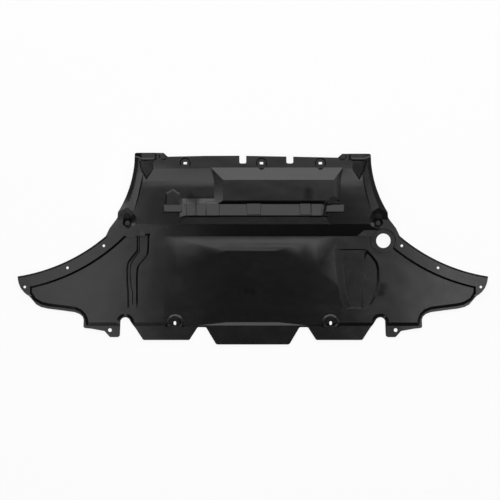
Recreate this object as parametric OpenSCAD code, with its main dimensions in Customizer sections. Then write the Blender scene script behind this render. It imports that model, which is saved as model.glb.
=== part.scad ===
// Engine splash shield for the underside of a passenger car, moulded in one piece.
// Millimetres. X runs across the car, Y points to the rear of the car, Z up.
// The shield lies with its road side up. Surfaces are given for the road side;
// the upper side of the sheet follows them at the wall thickness.

/* [Sheet] */
// Wall thickness of the moulded sheet
wall = 3; // [2:0.25:4]
// Height of the wheel-arch flanges above the wing floors
flange_height = 12; // [9:0.5:15]
// Depth of the front flange and its tabs below the wing floors
front_drop = 5; // [3:0.5:6]
// Height of the thin lips along the edges
lip_height = 4; // [3:0.5:6]
// Width of the thin lips at their foot
lip_width = 5; // [4:0.5:7]

/* [Plan outline] */
// Half of the distance between the two wing tips
half_width = 732; // [715:1:755]
// Front edge of the middle tab, measured forwards from the reference line
front_reach = 299; // [290:1:310]
// Front edge of the two outer tabs
outer_tab_reach = 285; // [278:1:289]
// Rear edge of the sheet, measured backwards from the reference line
rear_reach = 288; // [282:1:292]
// Extra reach of the two rear corner tabs
corner_reach = 10; // [6:1:16]
// Radius of the wheel-arch edge
arch_radius = 556; // [550:1:562]
// Width of the wheel-arch flange
arch_flange = 44; // [38:1:50]
// Radius of the curved side edges of the rear panel
side_radius = 350; // [340:1:360]
// Width of the sloping outer wall of the side upstands
side_wall_width = 14; // [10:1:16]
// How much further forward the right half of the rear edge lies
rear_slant = 3; // [0:0.5:5]

/* [Rear panel] */
// Height of the rear flange
rear_flange_height = 27; // [22:1:32]
// Height of the panel behind the crease
panel_height = 35; // [33:1:38]
// Position of the crease between panel and pan
crease_position = 39; // [34:1:44]
// Depth of the side troughs below the panel
trough_depth = 7; // [5:1:10]
// Rise of the side upstands for each millimetre of width
upstand_slope = 0.42; // [0.3:0.02:0.6]

/* [Engine clearance boxes] */
// Height of the face of the large box
large_box_height = 57; // [52:1:64]
// Height of the face of the cross duct
duct_height = 46; // [43:1:49]
// Height of the skirt round the cross duct
skirt_height = 32; // [31:0.5:35]
// Rise of the stiffening pads
pad_rise = 2.5; // [2:0.5:4]
// Radius of the short ribs along the corners of the boxes
rib_radius = 2; // [1.5:0.25:2.5]

/* [Pan] */
// Rise of the middle bulge of the pan
bulge_rise = 8; // [6:1:12]
// Depth of the pan at its front edge
pan_depth = 8; // [6:0.5:8]
// Half width of the middle bulge
bulge_half_width = 272; // [250:2:290]
// Depth of the shallow half of the stepped groove
groove_depth = 4.5; // [3:0.5:6]
// Depth of the deep half of the stepped groove
groove_full_depth = 8; // [7:0.5:9]
// Depth of the long lobe of the pocket
pocket_depth = 5; // [4:0.5:6]
// Depth of the leaf-shaped lobe of the pocket
leaf_depth = 8; // [7:0.5:10]

/* [Fixings] */
// Diameter of the screw holes in the wheel-arch flanges
screw_hole = 8; // [6:0.5:10]
// Diameter of the holes in the front corner tabs
corner_hole = 11.5; // [10:0.5:14]
// Width of the long holes in the front edge
front_hole_width = 8; // [6:0.5:10]
// Length of the long holes in the front edge
front_hole_length = 12; // [11:0.5:15]
// Distance of the front long holes from the middle
front_hole_spread = 243; // [235:1:250]
// Radius of the reliefs round the front long holes
relief_radius = 23; // [20:1:26]
// Width of the rectangular slots in the rear flange
slot_width = 10.5; // [9:0.5:13]
// Length of the rectangular slots along the car
slot_length = 7; // [6:0.5:9]
// Radius of the dimples round the slots
dimple_radius = 17; // [15:0.5:19]
// Depth of the dimples
dimple_depth = 4; // [3:0.5:6]
// Width of the two notches in the rear flange
rear_notch_width = 21; // [18:1:26]
// Depth of the two notches
rear_notch_depth = 23; // [18:1:26]
// Diameter of the oil drain opening
drain_hole = 45; // [40:1:50]
// Width of the flat rim of the oil drain opening
drain_rim = 14; // [11:1:16]
// Height of the flat rim
drain_rim_height = 5; // [4:0.5:7]

/* [Hidden] */
$fn = 96;
tone = [0.09, 0.09, 0.1];
below = -60;
above = 120;
// The deepest point of the sheet stands on the ground
lift = wall + max(leaf_depth, pan_depth, groove_full_depth);
// Distance from the crease to the rear edge at which the places of the deck are drawn
deck_length = 249;
tip = [half_width, -86];
arch_end = [458, 39];
arch_centre = centre_through(arch_end, tip, arch_radius);
side_rear = [367.5, deck(229)];
side_front = [419, deck(74)];
side_centre = centre_through(side_rear, side_front, side_radius);
panel_edge_rear = [341, deck(179)];
panel_edge_front = [377, deck(48)];
panel_edge_radius = 702;
panel_edge_centre = centre_through(panel_edge_rear, panel_edge_front, panel_edge_radius);
rim_radius = side_radius + side_wall_width;
trough_height = panel_height - trough_depth;
front_hole_y = -232;
screw_shares = [0.505, 0.925];
tip_hole = tip + [-22, -33];
corner_hole_spot = [446, -254];
slot_row_y = rear_reach - 22;
slot_spots = [-210, 27, 210];
rear_notch_spots = [-31, 115];
drain_spot = [407, 25];
drain_rim_radius = drain_hole / 2 + drain_rim;

// Place y behind the crease, stretched with the rear panel
function deck(y) = crease_position + y * (rear_reach - crease_position) / deck_length;

// Centre of the arc of radius r from a to b, left of the direction of travel
function centre_through(a, b, r) =
    (a + b) / 2 + inward(a, b) * sqrt(pow(r, 2) - pow(norm(b - a) / 2, 2));

// Direction from the centre of the wheel arch to a share of the way from tip to inner end
function arch_bearing(share) =
    bearing(arch_centre, tip) + share * (bearing(arch_centre, arch_end) - bearing(arch_centre, tip));

// Points of an arc round centre c
function arc(c, r, a, b, n) =
    [for (i = [0 : n]) c + r * [cos(a + (b - a) * i / n), sin(a + (b - a) * i / n)]];

// Direction in degrees from point a to point b, between 0 and 360
function bearing(a, b) = let(t = atan2(b[1] - a[1], b[0] - a[0])) t < 0 ? t + 360 : t;

// The same points mirrored to the other side, in reverse order
function mirrored(p) = [for (i = [len(p) - 1 : -1 : 0]) [-p[i][0], p[i][1]]];

function inward(a, b) = let(t = b - a) [-t[1], t[0]] / norm(t);

// Corner b of a-b-c after edge a-b moves in by u and edge b-c moves in by v
function moved_corner(a, b, c, u, v) =
    let(n = inward(a, b), m = inward(b, c), q = n[0] * m[1] - n[1] * m[0])
    abs(q) < 0.002 ? b + n * (u + v) / 2
    : b + [(u * m[1] - v * n[1]) / q, (v * n[0] - u * m[0]) / q];

// Outline p with edge i (from corner i to the next one) moved in by e[i]
function moved(p, e) =
    let(n = len(p))
    [for (i = [0 : n - 1])
        moved_corner(p[(i + n - 1) % n], p[i], p[(i + 1) % n], e[(i + n - 1) % n], e[i])];

// One value for each corner, from a list or from a single number
function each_edge(k, n) = is_list(k) ? k : [for (i = [0 : n - 1]) k];

// A corner a-b-c rounded to radius r
function rounded_corner(a, b, c, r, n = 4) =
    let(u = (a - b) / norm(a - b), v = (c - b) / norm(c - b), half = acos(u * v) / 2,
        t = min(r / tan(half), 0.48 * min(norm(a - b), norm(c - b))), q = t * tan(half),
        m = (u + v) / norm(u + v), o = b + m * q / sin(half),
        s = bearing(o, b + u * t), f = bearing(o, b + v * t), w = (f - s + 540) % 360 - 180)
    arc(o, q, s, s + w, n);

// An outline with its corners rounded, one radius for each corner, 0 keeps it sharp
function rounded(p, r) =
    let(n = len(p), q = each_edge(r, n))
    [for (i = [0 : n - 1])
        each (q[i] == 0 ? [p[i]]
            : rounded_corner(p[(i + n - 1) % n], p[i], p[(i + 1) % n], q[i]))];

// Solid between two outlines with matching corners. The caps are strips between
// corners i and n - 1 - i, so an outline may also bend like a channel.
module loft(low, z_low, high, z_high) {
    n = len(low);
    h = ceil(n / 2) - 1;
    polyhedron(
        points = concat([for (q = low) [q[0], q[1], z_low]], [for (q = high) [q[0], q[1], z_high]]),
        faces = concat(
            [for (i = [0 : h - 1]) i + 1 == n - 2 - i ? [i, i + 1, n - 1 - i]
                : [i, i + 1, n - 2 - i, n - 1 - i]],
            [for (i = [0 : h - 1]) i + 1 == n - 2 - i ? [n + n - 1 - i, n + i + 1, n + i]
                : [n + n - 1 - i, n + n - 2 - i, n + i + 1, n + i]],
            [for (i = [0 : n - 1]) [i, n + i, n + (i + 1) % n, (i + 1) % n]]),
        convexity = 6);
}

// Raised form with a flat face and sloping sides. k is the run of each side for one
// millimetre of height, d the distance of the wanted surface below the road side.
module bump(face, top, k, bottom, d) {
    s = each_edge(k, len(face));
    loft(
        moved(face, [for (q = s) d * sqrt(1 + q * q) - q * (top - bottom)]), bottom,
        moved(face, [for (q = s) d * sqrt(1 + q * q) - q * d]), top - d);
}

// Hollow with a flat floor and sloping sides, open upwards to level brim
module dent(floor_outline, bed, k, brim, d) {
    s = each_edge(k, len(floor_outline));
    loft(
        moved(floor_outline, [for (q = s) q * d - d * sqrt(1 + q * q)]), bed - d,
        moved(floor_outline, [for (q = s) -q * (brim - bed) - d * sqrt(1 + q * q)]), brim);
}

// Round raised form of radius r at its top, k is the run of the side for each mm of height
module round_bump(spot, r, top, k, d) {
    shrink = d * (sqrt(1 + k * k) - k);
    translate([spot[0], spot[1], below])
        cylinder(h = top - d - below, r1 = r - shrink + k * (top - d - below), r2 = r - shrink);
}

// Round hollow of radius r at its bed
module round_dent(spot, r, bed, k, d) {
    grow = d * (sqrt(1 + k * k) - k);
    translate([spot[0], spot[1], bed - d])
        cylinder(h = above - bed + d, r1 = r + grow, r2 = r + grow + k * (above - bed + d));
}

// Prism along X, its section given in Y and Z and its edges moved in by e
module along_x(section, e, x0, x1) {
    rotate([90, 0, 90]) translate([0, 0, x0]) linear_extrude(height = x1 - x0)
        polygon(moved(section, e));
}

function box_outline(x0, y0, x1, y1) = [[x0, y0], [x1, y0], [x1, y1], [x0, y1]];

module both_sides() {
    children();
    mirror([1, 0, 0]) children();
}

// Edge of the wing from the corner tab round to the wing tip
function wing_edge() = [
    [528, -222], [531, -212], [540, -204], [556, -198], [600, -192], [640, -187],
    [661, -182], [676, -174], [687, -161], tip + [-34, -62], tip + [-19, -49],
    tip + [-9, -36], tip + [-3, -21], tip + [-0.5, -9], tip];

// Half of the plan outline from the middle tab round to the rear edge, which lies
// further forward by slant
function half_outline(slant) =
    let(tab_y = rear_reach + corner_reach - slant, edge_y = rear_reach - slant)
    concat(
        rounded_corner([0, -front_reach], [114, -front_reach], [146, -246], 9),
        rounded_corner([114, -front_reach], [146, -245], [172, -245], 6),
        rounded_corner([146, -245], [172, -245], [198, -outer_tab_reach], 6),
        rounded_corner([172, -245], [198, -outer_tab_reach], [342, -outer_tab_reach], 7),
        rounded_corner([198, -outer_tab_reach], [342, -outer_tab_reach], [366, -248], 7),
        [[366, -248], [377, -234]],
        arc([398, -230], 16, 160, 20, 8),
        rounded_corner([414, -222], [415, -276], [446, -276], 8),
        rounded_corner([415, -276], [446, -276], [461, -258], 7),
        [[463, -257], [502, -250]],
        rounded_corner([502, -250], [529, -247], [528, -222], 6),
        wing_edge(),
        [for (i = [1 : 16])
            arch_centre + arch_radius * [cos(arch_bearing(i / 16)), sin(arch_bearing(i / 16))]],
        [[446, deck(25)], [421, deck(58)]],
        arc(side_centre, side_radius, bearing(side_centre, side_front),
            bearing(side_centre, side_rear), 12),
        rounded_corner(side_rear, [side_rear[0] - 1, tab_y], [277, tab_y], 5),
        rounded_corner([362, tab_y], [277, tab_y], [265, edge_y - 2], 7),
        [[264, edge_y - 2], [150, edge_y + 0.5], [40, edge_y + 1 + slant / 2]]);

function plan_outline() = concat(half_outline(rear_slant), mirrored(half_outline(0)));

// Foot of the front wall of a wing, from the corner tab round to the wing tip
function wing_foot() = [
    [517, -252], [524, -219], [529, -208], [540, -197], [556, -190], [600, -184], [640, -179],
    [660, -174], [673, -167], tip + [-48, -74], tip + [-38, -58]];

// Side of the rear panel as a profile across the crease, from below up and to the rear
function panel_profile() = [
    [-10, below], [deck(290), below], [deck(290), rear_flange_height],
    [deck(210), rear_flange_height], [deck(173), panel_height - 0.5], [deck(151), panel_height],
    [deck(121), panel_height - 0.6], [deck(91), panel_height - 2.4], [deck(60), panel_height - 6],
    [deck(38), panel_height - 11], [crease_position, 0], [-10, -30]];

// Floor of the pan and the wings
module floor_slab(d) {
    difference() {
        union() {
            translate([-800, -330, below]) cube([1600, 400, -d - below]);
            pan_bulge(d);
        }
        pan_hollow(d);
        front_step(d);
        both_sides() wing_step(d);
    }
    // The front flange stays level below the hollow of the pan
    translate([-530, -330, below])
        cube([1060, 330 - front_reach + 60 - d, -front_drop - d - below]);
}

// The pan deepens towards its front edge
module pan_hollow(d) {
    front_edge = 61 - front_reach;
    dent(box_outline(-80, front_edge + 8, 80, front_edge + 13), -pan_depth,
        [2.6, 25, 14, 25], bulge_rise + 2, d);
}

// Step down to the front flange, also round the notches beside the corner tabs
module front_step(d) {
    dent(box_outline(-520, -330, 520, 58 - front_reach), -front_drop, [0, 1, 2.2, 1],
        bulge_rise + 2, d);
    both_sides() round_dent([398, -230], 19, -front_drop, 1.7, d);
}

// Step down to the lip along the front edge of a wing
module wing_step(d) {
    f = wing_foot();
    for (i = [0 : len(f) - 2]) {
        n = inward(f[i], f[i + 1]);
        t = (f[i + 1] - f[i]) / norm(f[i + 1] - f[i]);
        dent([f[i] - n * 50 - 3 * t, f[i + 1] - n * 50 + 3 * t, f[i + 1] + 3 * t, f[i] - 3 * t],
            -front_drop, [0, 0, 1.8, 0], 4, d);
    }
}

// Half rings round the long holes of the front edge
module hole_rings(d) {
    difference() {
        round_bump([front_hole_spread, front_hole_y], relief_radius, 2, 1.2, d);
        round_dent([front_hole_spread, front_hole_y], relief_radius - 10, -front_drop, 1, d);
        translate([front_hole_spread - 60, -360, below - 1])
            cube([120, 360 + front_hole_y - 12, above - below]);
    }
}

// Flange along the wheel arch and round the wing tip
module wing_flange(d) {
    k = 0.5;
    intersection() {
        translate([arch_centre[0], arch_centre[1], below])
            cylinder(h = flange_height - d - below,
                r1 = arch_radius + arch_flange - k * below - d * sqrt(1 + k * k),
                r2 = arch_radius + arch_flange - k * (flange_height - d) - d * sqrt(1 + k * k),
                $fn = 360);
        translate([0, tip[1] - 57, below - 1]) cube([800, 300, above - below]);
    }
    bump([tip + [-38, -56], tip + [40, -56], tip + [40, 26], tip + [-36, 26]],
        flange_height, [0.5, 0, 0, 0.5], below, d);
}

// Panel behind the crease with steep sides
module rear_panel(d) {
    k = 0.35;
    difference() {
        along_x(panel_profile(), concat([0, 0], [for (i = [0 : 8]) d], [0]), -430, 430);
        both_sides() translate([panel_edge_centre[0], panel_edge_centre[1], below - 1])
            cylinder(h = above - below,
                r1 = panel_edge_radius + d * sqrt(1 + k * k) - k * (panel_height - below),
                r2 = panel_edge_radius + d * sqrt(1 + k * k) + k * (above - panel_height),
                $fn = 360);
    }
}

// Strip that rises outwards from the trough beside the panel to a sloping outer wall
module side_upstand(d) {
    s = upstand_slope;
    drop = d * sqrt(1 + s * s);
    k = 1.5;
    crest = trough_height + s * 25;
    difference() {
        intersection() {
            translate([panel_edge_centre[0], panel_edge_centre[1], below])
                cylinder(h = above - below,
                    r1 = panel_edge_radius - (below + drop - trough_height) / s,
                    r2 = panel_edge_radius - (above + drop - trough_height) / s, $fn = 360);
            // Falls away to the front behind the funnel
            along_x([[deck(1), below], [deck(240), below], [deck(240), crest + 10],
                [deck(92), crest + 3], [deck(52), flange_height], [deck(1), flange_height]],
                [0, d, d, d, d, 0], 250, 500);
        }
        translate([side_centre[0], side_centre[1], below - 1])
            cylinder(h = above - below,
                r1 = rim_radius + d * sqrt(1 + k * k) - k * (crest - below),
                r2 = rim_radius + d * sqrt(1 + k * k) + k * (above - crest), $fn = 240);
    }
}

// Rear corner tab with a solid bead along its front edge and a round boss inside
module rear_corner_tab(d) {
    tab_height = rear_flange_height + 6;
    bead_y = rear_reach - 10;
    bump(box_outline(304, rear_reach - 9, 345, rear_reach + 40), tab_height,
        [0.4, 2.5, 0.4, 0.8], below, d);
    round_bump([279, rear_reach - 1], 9, rear_flange_height + 2, 1.5, d);
    if (d == 0) {
        translate([306, bead_y, rear_flange_height + 4]) rotate([0, 90, 0])
            cylinder(h = 40, r = 5, $fn = 32);
        translate([346, bead_y, rear_flange_height + 4]) rotate([0, 111, 20])
            cylinder(h = 24, r = 5, $fn = 32);
    }
}

// Thin lip along the edge of the wheel arch
module arch_lip(d) {
    k = 0.8;
    intersection() {
        translate([arch_centre[0], arch_centre[1], below])
            cylinder(h = flange_height + lip_height - d - below,
                r1 = arch_radius + lip_width + k * (flange_height - below) - d * sqrt(1 + k * k),
                r2 = arch_radius + lip_width - k * (lip_height - d) - d * sqrt(1 + k * k),
                $fn = 360);
        translate([440, tip[1] - 10, below - 1]) cube([400, 50 - tip[1], above - below]);
    }
}

// Shallow bulge behind the middle of the pan, cut off by the slope behind the crease
module pan_bulge(d) {
    r = (pow(bulge_half_width, 2) + pow(bulge_rise, 2)) / (2 * bulge_rise);
    intersection() {
        translate([-8, 60, bulge_rise - r]) rotate([90, 0, 0])
            cylinder(h = 300, r = r - d, $fn = 720);
        along_x([[-260, -20], [60, -20], [crease_position, 0],
            [crease_position - 17, bulge_rise * 0.46], [crease_position - 31, bulge_rise * 0.75],
            [crease_position - 44, bulge_rise * 0.91], [crease_position - 60, bulge_rise],
            [-260, bulge_rise + 1]], [0, d, d, d, d, d, d, 0], -300, 300);
    }
}

module large_box(d) {
    bump([[-92, deck(110)], [222, deck(110)], [251, deck(124)], [251, deck(174)],
        [-92, deck(174)]], large_box_height, [0.66, 0.9, 0.95, 1.3, 1.25], below, d);
}

// Section of the cross duct: its face rises to the front
module duct_section(d) {
    along_x([[deck(40), below], [deck(140), below], [deck(140), 10],
        [deck(117), panel_height - 1], [deck(101), duct_height - 5.5],
        [deck(61), duct_height + 0.5], [deck(40), duct_height + 3.5]],
        [0, 0, d, d, d, d, 0], -230, 240);
}

// Narrow box along the front of the large one, with a skirt and pads along its face
module cross_duct(d) {
    bump(box_outline(-205, deck(61), 214, deck(104)), skirt_height, [2.85, 2.9, 1, 3.2],
        panel_height - 11.5 - 1.3 * d, d);
    intersection() {
        bump(box_outline(-198, deck(66), 207, deck(130)), duct_height + 6, [0.3, 1.3, 1, 1.3],
            20, d);
        duct_section(d);
    }
    intersection() {
        for (q = [[-204, -179, 65, 103], [-173, -146, 65, 98], [-143, -105, 65, 103],
                  [-17, 23, 68, 104], [147, 177, 68, 104], [183, 212, 65, 97]])
            bump(box_outline(q[0] + 1, deck(q[2]), q[1] - 1, deck(q[3])), duct_height + 6,
                0.3, 25, d);
        translate([0, 0, pad_rise]) duct_section(d);
    }
}

// Low pads at both ends of the cross duct
module side_pads(d) {
    bump([[-266, deck(103)], [-230, deck(103)], [-230, deck(130)], [-248, deck(142)],
        [-266, deck(130)]], panel_height + 1.2, 3, 12, d);
    intersection() {
        for (x = [-248, 255])
            bump(box_outline(x - 25, deck(78), x + 25, deck(94)), panel_height + 5, 0.5, 12, d);
        along_x([[deck(50), below], [deck(120), below], [deck(120), panel_height - 3],
            [deck(50), panel_height + 4]], [0, 0, d, 0], -300, 300);
    }
    bump([[232, deck(102)], [266, deck(102)], [256, deck(114)], [240, deck(114)]],
        panel_height + pad_rise, 0.6, 12, d);
}

// Stepped groove beside the left wing
module stepped_groove(d) {
    right_line = [[-363, -183], [-363, -82], [-361, -61], [-356, -49], [-343, -34],
        [-331, -18], [-328, -4], [-327, 41]];
    left_line = [[-357, 41], [-357, -7], [-378, -33], [-386, -45], [-389, -61], [-389, -98],
        [-386, -144], [-386, -183]];
    step_line = [[-353, 41], [-353, -9], [-374, -37], [-380, -51], [-382, -73], [-379, -119],
        [-374, -134], [-374, -172]];
    dent(concat(left_line, right_line), -groove_depth,
        [for (i = [0 : 15]) i < 7 ? 1.3 : i < 8 ? 0.9 : i < 15 ? 0.5 : 0.9], 2, d);
    dent(concat(step_line, [[-364, -172]], [for (i = [1 : 7]) right_line[i] + [-1.5, 0]]),
        -groove_full_depth, 0.7, 5, d);
}

// Pocket with a long lobe and a leaf-shaped lobe
module pocket(d) {
    long_lobe = [[311, -183], [340, -183], [350, -4], [280, -4], [281, -40], [287, -113],
        [296, -160]];
    leaf = [[345, -176], [364, -172], [377, -148], [385, -121], [388, -91], [387, -62],
        [382, -44], [367, -24], [357, -14], [347, -42], [342, -73], [341, -113], [342, -150]];
    dent(long_lobe, -pocket_depth, [0.7, 0.4, 0.6, 4.5, 4.5, 4.5, 3.5], 6, d);
    dent(leaf, -leaf_depth, [0.6, 0.9, 0.9, 0.9, 0.9, 0.9, 0.9, 0.9, 0.6, 0.4, 0.4, 0.4, 0.4], 6, d);
}

// Scoop below each rear corner tab, its bed falls to the front
module scoop(d) {
    intersection() {
        dent([[312, deck(208)], [330, deck(183)], [341, deck(201)], [348, deck(234)],
            [313, deck(234)]], panel_height - 15, [0.35, 0.35, 0.35, 0, 0.35],
            panel_height + 12, d);
        along_x([[deck(170), above], [deck(170), panel_height - 19], [deck(250), panel_height - 5],
            [deck(250), above]], [0, -d, 0, 0], 250, 400);
    }
}

module slot_dimples(d) {
    for (x = slot_spots)
        round_dent([x, slot_row_y], dimple_radius - 3, rear_flange_height - dimple_depth, 0.75, d);
}

module funnel(d) {
    round_dent([391, deck(42)], 7, flange_height - 7, 1.1, d);
}

module drain_rim_disc(d) {
    round_bump(drain_spot, drain_rim_radius + 3, drain_rim_height, 0, d);
}

module drain_recess(d) {
    round_dent(drain_spot, drain_rim_radius, drain_rim_height, 0.2, d);
}

// Round rib along the edge from a to b, sunk to its middle
module rib(a, b, r) {
    v = b - a;
    translate(a) rotate([0, acos(v[2] / norm(v)), atan2(v[1], v[0])])
        cylinder(h = norm(v), r = r, $fn = 24);
}

// Ribs along the front corners of the boxes
module corner_ribs() {
    rib([-206, deck(62), skirt_height + 2], [-233, deck(36), panel_height - 10.5], rib_radius);
    rib([214, deck(62), skirt_height + 2], [239, deck(36), panel_height - 10.5], rib_radius);
    rib([252, deck(123), large_box_height - 0.5], [219, deck(97), duct_height - 4], rib_radius);
    rib([-272, deck(78), panel_height], [-286, deck(69), panel_height - 4.5], rib_radius);
}

// Everything below the road side surface, or below the upper side for d = wall
module form(d) {
    difference() {
        union() {
            floor_slab(d);
            rear_panel(d);
            both_sides() {
                wing_flange(d);
                side_upstand(d);
                rear_corner_tab(d);
                arch_lip(d);
                hole_rings(d);
            }
            large_box(d);
            cross_duct(d);
            side_pads(d);
            drain_rim_disc(d);
        }
        stepped_groove(d);
        pocket(d);
        both_sides() {
            scoop(d);
            funnel(d);
        }
        slot_dimples(d);
        drain_recess(d);
    }
}

module cut(spot, width, length) {
    translate([spot[0] - width / 2, spot[1] - length / 2, below - 2])
        cube([width, length, above - below + 4]);
}

module hole(spot, diameter) {
    translate([spot[0], spot[1], below - 2])
        cylinder(h = above - below + 4, d = diameter, $fn = 64);
}

// All openings through the sheet
module openings() {
    both_sides() {
        for (share = screw_shares)
            hole(arch_centre + (arch_radius + arch_flange * 0.44)
                * [cos(arch_bearing(share)), sin(arch_bearing(share))], screw_hole);
        hole(tip_hole, screw_hole);
        hole(corner_hole_spot, corner_hole);
        hole([front_hole_spread, front_hole_y + (front_hole_length - front_hole_width) / 2],
            front_hole_width);
        hole([front_hole_spread, front_hole_y - (front_hole_length - front_hole_width) / 2],
            front_hole_width);
        cut([front_hole_spread, front_hole_y], front_hole_width,
            front_hole_length - front_hole_width);
    }
    for (x = slot_spots)
        cut([x, slot_row_y], slot_width, slot_length);
    for (x = rear_notch_spots) {
        cut([x, rear_reach + 20 - rear_notch_depth / 2], rear_notch_width - 10,
            rear_notch_depth + 40);
        cut([x, rear_reach + 22.5 - rear_notch_depth / 2], rear_notch_width,
            rear_notch_depth + 35);
        for (s = [-1, 1])
            hole([x + s * (rear_notch_width / 2 - 5), rear_reach - rear_notch_depth + 5], 10);
    }
    hole(drain_spot, drain_hole);
}

module splash_shield() {
    color(tone)
    translate([0, (front_reach - rear_reach - corner_reach) / 2, lift])
    union() {
        difference() {
            intersection() {
                form(0);
                translate([0, 0, below / 2]) linear_extrude(height = above)
                    polygon(plan_outline());
            }
            form(wall);
            openings();
        }
        corner_ribs();
    }
}

splash_shield();
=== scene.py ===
"""Looks of the engine splash shield: moulded black plastic sheet, studio and camera."""

import math

import bmesh
import bpy
from bpy.props import FloatProperty, FloatVectorProperty, PointerProperty
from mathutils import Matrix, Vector


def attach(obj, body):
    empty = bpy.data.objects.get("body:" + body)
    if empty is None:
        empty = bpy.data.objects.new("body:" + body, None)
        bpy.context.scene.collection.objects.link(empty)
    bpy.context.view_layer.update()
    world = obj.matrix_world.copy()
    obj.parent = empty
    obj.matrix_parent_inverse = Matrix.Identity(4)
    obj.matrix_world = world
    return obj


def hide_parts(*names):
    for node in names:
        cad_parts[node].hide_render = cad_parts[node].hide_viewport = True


bl_info = {
    "name": "Engine Splash Shield",
    "version": (1, 0, 0),
    "blender": (4, 5, 0),
    "location": "View3D > Sidebar > Shield",
    "description": "Moulded plastic splash shield with its finish, studio and camera",
    "category": "Object",
}

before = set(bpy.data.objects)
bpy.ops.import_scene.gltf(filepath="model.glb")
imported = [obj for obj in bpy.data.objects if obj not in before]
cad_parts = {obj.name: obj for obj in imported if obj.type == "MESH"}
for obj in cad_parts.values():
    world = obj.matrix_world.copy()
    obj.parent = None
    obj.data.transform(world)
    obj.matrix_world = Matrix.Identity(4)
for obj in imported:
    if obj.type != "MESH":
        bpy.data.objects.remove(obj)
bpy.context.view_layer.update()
NODE = "splash_shield"
BODY = "root"
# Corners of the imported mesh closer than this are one, in metres
MERGE_DISTANCE = 1e-5
# Faces that turn less than this are one flat face
FLAT_ANGLE = math.radians(0.5)
# Bends up to this angle are smooth
BEND_ANGLE = math.radians(8.5)
# Bends between slopes that fall to the front or rear, and lean sideways less
# than the limit below, are softer in the mould
LENGTHWISE_ANGLE = math.radians(13.0)
LENGTHWISE_LEAN = 0.056
# Facets of a round hole or corner: their largest area in square metres, and turn
FACET_AREA = 0.00008
FACET_ANGLE = math.radians(26)
# Injection points of the mould, in metres
GATES = ((-0.012, -0.121), (0.006, -0.126), (0.413, -0.112), (0.409, -0.126),
         (-0.185, 0.166), (-0.170, 0.160), (0.178, 0.172), (0.180, 0.184))
# Scale and reach of the swirl that blurs the gate marks
SWIRL_SCALE = 70.0
SWIRL_REACH = (0.016, 0.016, 0.0)
FLOOR_HALF_WIDTH = 40.0
# Share of the paper's glow where the camera or a reflection sees it
PAPER_GLOW_SHARE = 0.9
# Level of the rear soft edge beside the rear high light, and of the right
# overhead light beside the left one
SOFT_EDGE_SHARE = 0.45
RIGHT_OVERHEAD_GAIN = 2.1
# Place of the camera over the sheet, in metres
CAMERA_PLACE = (-0.0087, -0.0034)


class ShieldFinish(bpy.types.PropertyGroup):
    """Finish of the moulded plastic"""

    plastic_colour: FloatVectorProperty(
        name="Plastic colour", description="Base colour of the moulded plastic",
        subtype="COLOR", size=3, min=0.0, max=1.0, default=(0.0020, 0.0020, 0.0022))
    worn_colour: FloatVectorProperty(
        name="Worn colour", description="Colour of the plastic where edges are rubbed",
        subtype="COLOR", size=3, min=0.0, max=1.0, default=(0.016, 0.016, 0.017))
    roughness: FloatProperty(
        name="Roughness", description="Mean roughness of the satin surface",
        min=0.05, max=1.0, default=0.22)
    roughness_spread: FloatProperty(
        name="Roughness spread", description="How much the roughness varies over the sheet",
        min=0.0, max=0.5, default=0.10)
    grain_size: FloatProperty(
        name="Grain size", description="Size of the fine mould grain",
        unit="LENGTH", min=0.0002, max=0.01, default=0.0012)
    grain_depth: FloatProperty(
        name="Grain depth", description="Depth of the fine mould grain",
        unit="LENGTH", min=0.0, max=0.001, default=0.00003)
    ripple_size: FloatProperty(
        name="Ripple size", description="Length of the soft waves left by uneven cooling",
        unit="LENGTH", min=0.01, max=1.0, default=0.085)
    ripple_depth: FloatProperty(
        name="Ripple depth", description="Depth of the soft waves left by uneven cooling",
        unit="LENGTH", min=0.0, max=0.005, default=0.0009)
    gate_radius: FloatProperty(
        name="Gate mark radius", description="Radius of the smudges at the injection points",
        unit="LENGTH", min=0.001, max=0.1, default=0.026)
    edge_round: FloatProperty(
        name="Edge rounding", description="Radius of the rounded mould edges",
        unit="LENGTH", min=0.0, max=0.005, default=0.0009)


class StudioSettings(bpy.types.PropertyGroup):
    """Floor, lights and camera"""

    camera_height: FloatProperty(
        name="Camera height", description="Height of the camera above the floor",
        unit="LENGTH", min=1.0, max=20.0, default=6.0)
    view_width: FloatProperty(
        name="View width", description="Width of the picture at the height of the sheet",
        unit="LENGTH", min=0.5, max=5.0, default=1.5625)
    rear_level: FloatProperty(
        name="Rear light", description="Brightness of the large softbox behind the rear edge",
        min=0.0, max=20.0, default=2.5)
    rear_high_level: FloatProperty(
        name="Rear high light", description="Brightness of the softbox high behind the boxes",
        min=0.0, max=20.0, default=1.75)
    rear_overhead_level: FloatProperty(
        name="Rear overhead light", description="Brightness of the strip above the rear flange",
        min=0.0, max=20.0, default=0.3)
    overhead_level: FloatProperty(
        name="Overhead lights", description="Brightness of the two softboxes above the wings",
        min=0.0, max=20.0, default=1.6)
    right_level: FloatProperty(
        name="Right light", description="Brightness of the far softbox on the right",
        min=0.0, max=20.0, default=6.5)
    front_high_level: FloatProperty(
        name="Front high light", description="Brightness of the narrow softbox high in front",
        min=0.0, max=20.0, default=0.9)
    front_left_level: FloatProperty(
        name="Front left light", description="Brightness of the small softbox near the front left",
        min=0.0, max=20.0, default=3.6)
    card_level: FloatProperty(
        name="Left card", description="Brightness of the small card beside the tall box",
        min=0.0, max=20.0, default=1.8)
    front_low_level: FloatProperty(
        name="Front low light", description="Brightness of the wide softbox low in front",
        min=0.0, max=20.0, default=0.4)
    side_level: FloatProperty(
        name="Side lights", description="Brightness of the low softboxes at the left and right",
        min=0.0, max=20.0, default=3.0)
    world_level: FloatProperty(
        name="Surroundings", description="Brightness of the dim surroundings",
        min=0.0, max=2.0, default=0.06)


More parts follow.
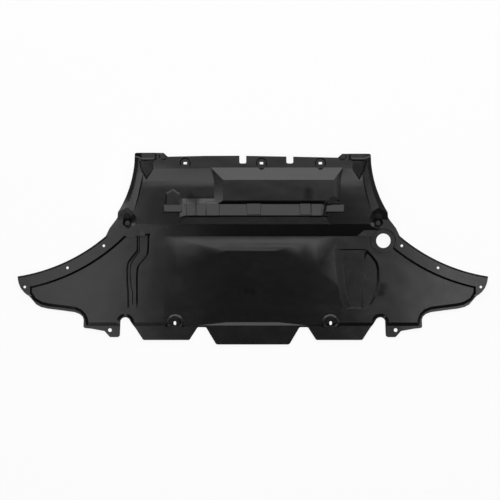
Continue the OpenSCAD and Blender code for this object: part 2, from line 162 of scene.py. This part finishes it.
def math_node(nt, operation, a, b=None, c=None, clamp=False):
    """A Math node with its inputs linked or set, returning its output."""
    node = nt.nodes.new("ShaderNodeMath")
    node.operation = operation
    node.use_clamp = clamp
    for i, value in enumerate((a, b, c)):
        if value is None:
            continue
        if isinstance(value, bpy.types.NodeSocket):
            nt.links.new(value, node.inputs[i])
        else:
            node.inputs[i].default_value = value
    return node.outputs[0]


def noise(nt, coords, size, detail, roughness=0.5, distortion=0.0):
    """Noise of the given feature size in metres, between 0 and 1."""
    node = nt.nodes.new("ShaderNodeTexNoise")
    nt.links.new(coords, node.inputs["Vector"])
    node.inputs["Scale"].default_value = 1.0 / size
    node.inputs["Detail"].default_value = detail
    node.inputs["Roughness"].default_value = roughness
    node.inputs["Distortion"].default_value = distortion
    return node.outputs["Fac"]


def stretched(nt, coords, scale):
    """Coordinates scaled along each axis."""
    node = nt.nodes.new("ShaderNodeMapping")
    node.inputs["Scale"].default_value = scale
    nt.links.new(coords, node.inputs["Vector"])
    return node.outputs["Vector"]


def bump(nt, height, distance, normal):
    """Normal bumped by a height of the given depth in metres."""
    node = nt.nodes.new("ShaderNodeBump")
    node.inputs["Distance"].default_value = distance
    nt.links.new(height, node.inputs["Height"])
    nt.links.new(normal, node.inputs["Normal"])
    return node.outputs["Normal"]


def gate_mark(nt, coords, x, y, radius):
    """Soft spot round one injection point, 1 in its middle and 0 outside."""
    offset = nt.nodes.new("ShaderNodeVectorMath")
    offset.operation = "SUBTRACT"
    nt.links.new(coords, offset.inputs[0])
    offset.inputs[1].default_value = (x, y, 0.0)
    flat = nt.nodes.new("ShaderNodeVectorMath")
    flat.operation = "MULTIPLY"
    nt.links.new(offset.outputs["Vector"], flat.inputs[0])
    flat.inputs[1].default_value = (1.0, 1.0, 0.0)
    length = nt.nodes.new("ShaderNodeVectorMath")
    length.operation = "LENGTH"
    nt.links.new(flat.outputs["Vector"], length.inputs[0])
    soft = nt.nodes.new("ShaderNodeMapRange")
    soft.interpolation_type = "SMOOTHERSTEP"
    soft.inputs["From Max"].default_value = radius
    soft.inputs["To Min"].default_value = 1.0
    soft.inputs["To Max"].default_value = 0.0
    nt.links.new(length.outputs["Value"], soft.inputs["Value"])
    return soft.outputs["Result"]


def sheet_plastic(finish):
    """Black satin plastic with mould grain, cooling ripples, gate marks and rubbed edges."""
    mat = bpy.data.materials.new("shield_black_plastic")
    mat.use_nodes = True
    nt = mat.node_tree
    nt.nodes.clear()
    new, link = nt.nodes.new, nt.links.new
    out = new("ShaderNodeOutputMaterial")
    bsdf = new("ShaderNodeBsdfPrincipled")
    bsdf.inputs["IOR"].default_value = 1.49
    link(bsdf.outputs["BSDF"], out.inputs["Surface"])
    coords = new("ShaderNodeTexCoord").outputs["Object"]

    flow = noise(nt, stretched(nt, coords, (1.0, 2.2, 1.0)), 0.16, 4.0, 0.55, 0.4)
    mottle = noise(nt, coords, 0.018, 3.0, 0.6)
    grain = noise(nt, coords, finish.grain_size, 2.0, 0.6)
    ripple = noise(nt, stretched(nt, coords, (1.0, 1.6, 1.0)), finish.ripple_size, 1.0, 0.4)

    drift = new("ShaderNodeVectorMath")
    drift.operation = "MULTIPLY_ADD"
    swirl = new("ShaderNodeTexNoise")
    swirl.inputs["Scale"].default_value = SWIRL_SCALE
    link(coords, swirl.inputs["Vector"])
    link(swirl.outputs["Color"], drift.inputs[0])
    drift.inputs[1].default_value = SWIRL_REACH
    link(coords, drift.inputs[2])
    blurred = drift.outputs["Vector"]
    gates = None
    for x, y in GATES:
        mark = gate_mark(nt, blurred, x, y, finish.gate_radius)
        gates = mark if gates is None else math_node(nt, "MAXIMUM", gates, mark)

    rounded = new("ShaderNodeBevel")
    rounded.samples = 6
    rounded.inputs["Radius"].default_value = finish.edge_round
    geometry = new("ShaderNodeNewGeometry")
    turn = new("ShaderNodeVectorMath")
    turn.operation = "DOT_PRODUCT"
    link(rounded.outputs["Normal"], turn.inputs[0])
    link(geometry.outputs["Normal"], turn.inputs[1])
    edge = math_node(nt, "MULTIPLY_ADD", turn.outputs["Value"], -8.0, 7.7, clamp=True)
    patches = math_node(nt, "MULTIPLY_ADD", mottle, 1.6, -0.35, clamp=True)
    scuffs = math_node(nt, "MULTIPLY", edge, patches, clamp=True)
    colour = new("ShaderNodeMix")
    colour.data_type = "RGBA"
    colour.inputs["A"].default_value = (*finish.plastic_colour, 1.0)
    colour.inputs["B"].default_value = (*finish.worn_colour, 1.0)
    link(scuffs, colour.inputs["Factor"])
    link(colour.outputs["Result"], bsdf.inputs["Base Color"])

    spread = finish.roughness_spread
    rough = math_node(nt, "MULTIPLY_ADD", flow, spread, finish.roughness - spread / 2)
    rough = math_node(nt, "MULTIPLY_ADD", mottle, spread * 0.6, rough)
    rough = math_node(nt, "MULTIPLY_ADD", scuffs, 0.12, rough)
    rough = math_node(nt, "MULTIPLY_ADD", gates, 0.06, rough, clamp=True)
    link(rough, bsdf.inputs["Roughness"])
    shine = math_node(nt, "MULTIPLY_ADD", gates, -0.3, 0.5)
    link(shine, bsdf.inputs["Specular IOR Level"])

    waves = bump(nt, ripple, finish.ripple_depth, rounded.outputs["Normal"])
    surface = bump(nt, grain, finish.grain_depth, waves)
    link(surface, bsdf.inputs["Normal"])
    return mat


def runs_smooth(edge):
    """Whether the surface runs smoothly over an edge: a shallow bend or a facet of a cone."""
    if len(edge.link_faces) != 2:
        return False
    angle = edge.calc_face_angle(0.0)
    a, b = edge.link_faces
    lengthwise = max(abs(a.normal.x), abs(b.normal.x)) < LENGTHWISE_LEAN
    if angle < (LENGTHWISE_ANGLE if lengthwise else BEND_ANGLE):
        return True
    narrow = max(a.calc_area(), b.calc_area()) < FACET_AREA
    return narrow and angle < FACET_ANGLE and abs(a.normal.z - b.normal.z) < 0.005


class SHIELD_OT_sheet(bpy.types.Operator):
    """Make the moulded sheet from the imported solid, with rounded edges and its finish"""

    bl_idname = "shield.sheet"
    bl_label = "Moulded Sheet"

    def execute(self, context):
        finish = context.scene.shield_finish
        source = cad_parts[NODE]
        mesh = source.data.copy()
        mesh.name = "moulded_sheet"
        bm = bmesh.new()
        bm.from_mesh(mesh)
        bmesh.ops.remove_doubles(bm, verts=bm.verts, dist=MERGE_DISTANCE)
        bmesh.ops.dissolve_limit(
            bm, angle_limit=FLAT_ANGLE, use_dissolve_boundaries=False,
            verts=bm.verts, edges=bm.edges, delimit={"NORMAL"})
        for f in bm.faces:
            f.smooth = True
        bmesh.ops.recalc_face_normals(bm, faces=bm.faces)
        for e in bm.edges:
            e.smooth = runs_smooth(e)
        bm.to_mesh(mesh)
        bm.free()
        mesh.materials.clear()
        mesh.materials.append(sheet_plastic(finish))
        sheet = bpy.data.objects.new("moulded_sheet", mesh)
        context.scene.collection.objects.link(sheet)
        weighted = sheet.modifiers.new("weighted_normals", "WEIGHTED_NORMAL")
        weighted.mode = "FACE_AREA"
        weighted.keep_sharp = True
        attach(sheet, BODY)
        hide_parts(NODE)
        return {"FINISHED"}


def softbox(name, towards, distance, size, level, target=(0.0, 0.0, 0.0)):
    """Rectangular softbox of an even brightness, aimed at the target."""
    light = bpy.data.lights.new(name, "AREA")
    light.shape = "RECTANGLE"
    light.size, light.size_y = size
    light.energy = math.pi * size[0] * size[1] * level
    obj = bpy.data.objects.new(name, light)
    place = Vector(target) + Vector(towards).normalized() * distance
    obj.location = place
    obj.rotation_euler = (Vector(target) - place).to_track_quat("-Z", "Y").to_euler()
    obj.visible_camera = False
    bpy.context.scene.collection.objects.link(obj)


def level_softbox(name, across, along, height, level):
    """Softbox that hangs level above the sheet and shines straight down."""
    place = ((across[0] + across[1]) / 2, (along[0] + along[1]) / 2)
    size = (across[1] - across[0], along[1] - along[0])
    softbox(name, (0.0, 0.0, 1.0), height, size, level, (place[0], place[1], 0.0))


def floor_paper():
    """White paper that shows white to the camera and in reflections, and keeps a soft shadow."""
    mat = bpy.data.materials.new("floor_white_paper")
    mat.use_nodes = True
    nt = mat.node_tree
    nt.nodes.clear()
    new, link = nt.nodes.new, nt.links.new
    out = new("ShaderNodeOutputMaterial")
    paper = new("ShaderNodeBsdfDiffuse")
    paper.inputs["Color"].default_value = (0.86, 0.86, 0.86, 1.0)
    glow = new("ShaderNodeEmission")
    glow.inputs["Strength"].default_value = 1.0
    path = new("ShaderNodeLightPath")
    seen = math_node(nt, "MAXIMUM", path.outputs["Is Camera Ray"],
                     path.outputs["Is Glossy Ray"])
    clear = math_node(nt, "MAXIMUM", seen, path.outputs["Is Transmission Ray"])
    amount = math_node(nt, "MULTIPLY", clear, PAPER_GLOW_SHARE)
    mix = new("ShaderNodeMixShader")
    link(amount, mix.inputs["Fac"])
    link(paper.outputs["BSDF"], mix.inputs[1])
    link(glow.outputs["Emission"], mix.inputs[2])
    link(mix.outputs["Shader"], out.inputs["Surface"])
    return mat


class SHIELD_OT_studio(bpy.types.Operator):
    """Make the pale floor, the soft lights and the camera"""

    bl_idname = "shield.studio"
    bl_label = "Studio"

    def execute(self, context):
        scene = context.scene
        studio = scene.shield_studio
        bm = bmesh.new()
        bmesh.ops.create_grid(bm, x_segments=1, y_segments=1, size=FLOOR_HALF_WIDTH)
        mesh = bpy.data.meshes.new("studio_floor")
        bm.to_mesh(mesh)
        bm.free()
        mesh.materials.append(floor_paper())
        floor = bpy.data.objects.new("studio_floor", mesh)
        scene.collection.objects.link(floor)

        world = bpy.data.worlds.new("studio_surroundings")
        world.use_nodes = True
        back = world.node_tree.nodes["Background"]
        back.inputs["Color"].default_value = (1.0, 1.0, 1.0, 1.0)
        back.inputs["Strength"].default_value = studio.world_level
        scene.world = world

        # Each softbox: direction, distance, size and level, or its span and height
        softbox("rear_softbox", (0.0, 0.87, 0.48), 4.6, (10.0, 4.4), studio.rear_level)
        level_softbox("rear_high_softbox", (-2.8, 2.8), (1.1, 4.4), 6.5,
                      studio.rear_high_level)
        level_softbox("rear_soft_edge", (-2.0, 2.0), (0.5, 1.1), 6.5,
                      studio.rear_high_level * SOFT_EDGE_SHARE)
        level_softbox("rear_overhead_softbox", (-0.9, 0.9), (0.28, 0.50), 1.5,
                      studio.rear_overhead_level)
        level_softbox("left_overhead_softbox", (-0.98, -0.45), (-0.7, 0.16), 1.5,
                      studio.overhead_level)
        level_softbox("right_overhead_softbox", (0.73, 1.08), (-0.9, 0.35), 2.2,
                      studio.overhead_level * RIGHT_OVERHEAD_GAIN)
        softbox("right_softbox", (1.0, -0.19, 0.98), 6.0, (2.0, 1.0), studio.right_level)
        softbox("front_high_softbox", (0.0, -0.55, 0.84), 4.0, (3.0, 0.6),
                studio.front_high_level)
        softbox("front_left_softbox", (-0.10, -0.90, 0.44), 1.9, (0.32, 0.24),
                studio.front_left_level, (-0.37, 0.06, 0.0))
        softbox("left_card", (-1.0, -0.05, 0.21), 0.36, (0.10, 0.14), studio.card_level,
                (-0.11, 0.15, 0.05))
        softbox("front_low_softbox", (0.0, -0.99, 0.15), 4.0, (4.0, 0.5),
                studio.front_low_level)
        for side in (-1, 1):
            softbox("side_softbox", (side * 0.92, 0.38, 0.07), 4.0, (2.6, 0.5),
                    studio.side_level)

        camera = bpy.data.cameras.new("photo_camera")
        camera.sensor_fit = "HORIZONTAL"
        camera.sensor_width = 36.0
        camera.lens = camera.sensor_width * studio.camera_height / studio.view_width
        camera.clip_end = 200.0
        obj = bpy.data.objects.new("photo_camera", camera)
        obj.location = (*CAMERA_PLACE, studio.camera_height)
        obj.rotation_euler = (0.0, 0.0, 0.0)
        scene.collection.objects.link(obj)
        scene.camera = obj
        scene.view_settings.view_transform = "Standard"
        return {"FINISHED"}


class SHIELD_PT_panel(bpy.types.Panel):
    """Pieces of the splash shield"""

    bl_idname = "SHIELD_PT_panel"
    bl_label = "Engine Splash Shield"
    bl_space_type = "VIEW_3D"
    bl_region_type = "UI"
    bl_category = "Shield"

    def draw(self, context):
        layout = self.layout
        finish = context.scene.shield_finish
        studio = context.scene.shield_studio
        for name in ("plastic_colour", "worn_colour", "roughness", "roughness_spread",
                     "grain_size", "grain_depth", "ripple_size", "ripple_depth",
                     "gate_radius", "edge_round"):
            layout.prop(finish, name)
        layout.operator(SHIELD_OT_sheet.bl_idname)
        for name in ("camera_height", "view_width", "rear_level", "rear_high_level",
                     "rear_overhead_level", "overhead_level", "right_level",
                     "front_high_level", "front_left_level", "card_level",
                     "front_low_level", "side_level", "world_level"):
            layout.prop(studio, name)
        layout.operator(SHIELD_OT_studio.bl_idname)


CLASSES = (ShieldFinish, StudioSettings, SHIELD_OT_sheet, SHIELD_OT_studio, SHIELD_PT_panel)


def register():
    for cls in CLASSES:
        bpy.utils.register_class(cls)
    bpy.types.Scene.shield_finish = PointerProperty(type=ShieldFinish)
    bpy.types.Scene.shield_studio = PointerProperty(type=StudioSettings)


def unregister():
    del bpy.types.Scene.shield_studio
    del bpy.types.Scene.shield_finish
    for cls in reversed(CLASSES):
        bpy.utils.unregister_class(cls)


def main():
    register()
    bpy.ops.shield.studio()
    bpy.ops.shield.sheet()
    bpy.context.view_layer.update()


if __name__ == "__main__":
    main()
